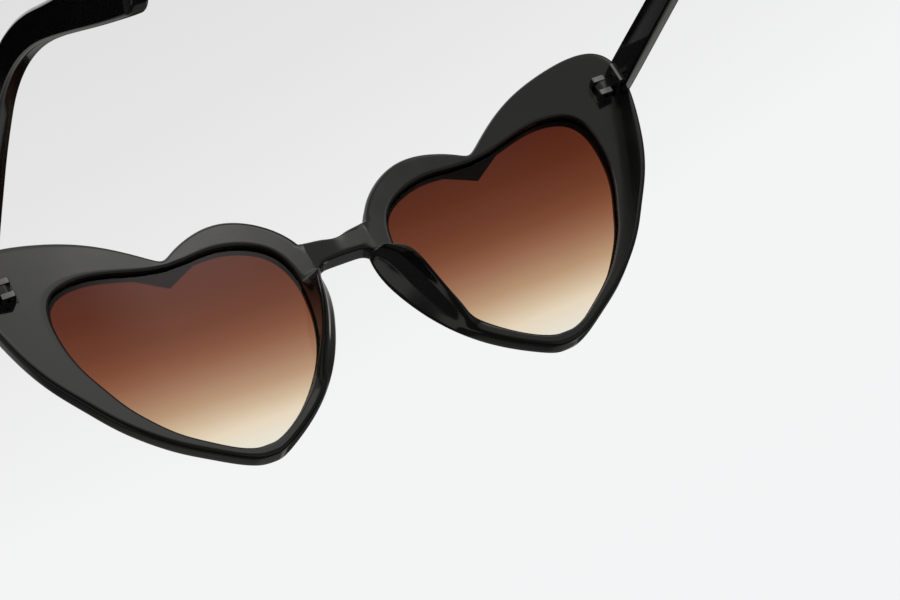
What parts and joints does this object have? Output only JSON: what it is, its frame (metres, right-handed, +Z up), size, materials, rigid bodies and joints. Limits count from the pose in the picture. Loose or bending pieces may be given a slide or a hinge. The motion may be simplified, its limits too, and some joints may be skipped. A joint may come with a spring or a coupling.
{
  "type": "heart shaped sunglasses",
  "caption": "Oversized glossy black sunglasses with upswept heart shaped rims, brown gradient lenses, moulded nose pads and folding temples.",
  "frame": {"origin": "centre of the box around the open glasses, at the level of the plane that they stand on (points of the hearts and tips of the temples)", "axes": "+X towards the wearer's left across the front, +Y back along the open temples, +Z up; the front faces -Y"},
  "size_m": [0.1472, 0.1582, 0.0612],
  "materials": {
    "front_frame": "glossy black moulded plastic",
    "lens": "clear tinted plastic, dark brown above and pale amber below",
    "temple": "glossy black moulded plastic",
    "hinge": "black plastic lugs, knuckles and leaves",
    "screw": "black finished steel screw"
  },
  "bodies": {
    "front": {"front_frame": "front_frame", "left_lens": "lens", "right_lens": "lens", "left_front_hinge": "hinge", "right_front_hinge": "hinge", "left_hinge_screw": "screw", "right_hinge_screw": "screw"},
    "left_temple_arm": {"left_temple": "temple", "left_temple_hinge": "hinge"},
    "right_temple_arm": {"right_temple": "temple", "right_temple_hinge": "hinge"}
  },
  "joints": [
    {"name": "left_temple_fold", "type": "hinge", "parent": "front", "child": "left_temple_arm", "pos_m": [0.0669, -0.06907, 0.05025], "axis": [0, 0, 1], "range_deg": [0, 90]},
    {"name": "right_temple_fold", "type": "hinge", "parent": "front", "child": "right_temple_arm", "pos_m": [-0.0669, -0.06907, 0.05025], "axis": [0, 0, -1], "range_deg": [0, 85]}
  ]
}
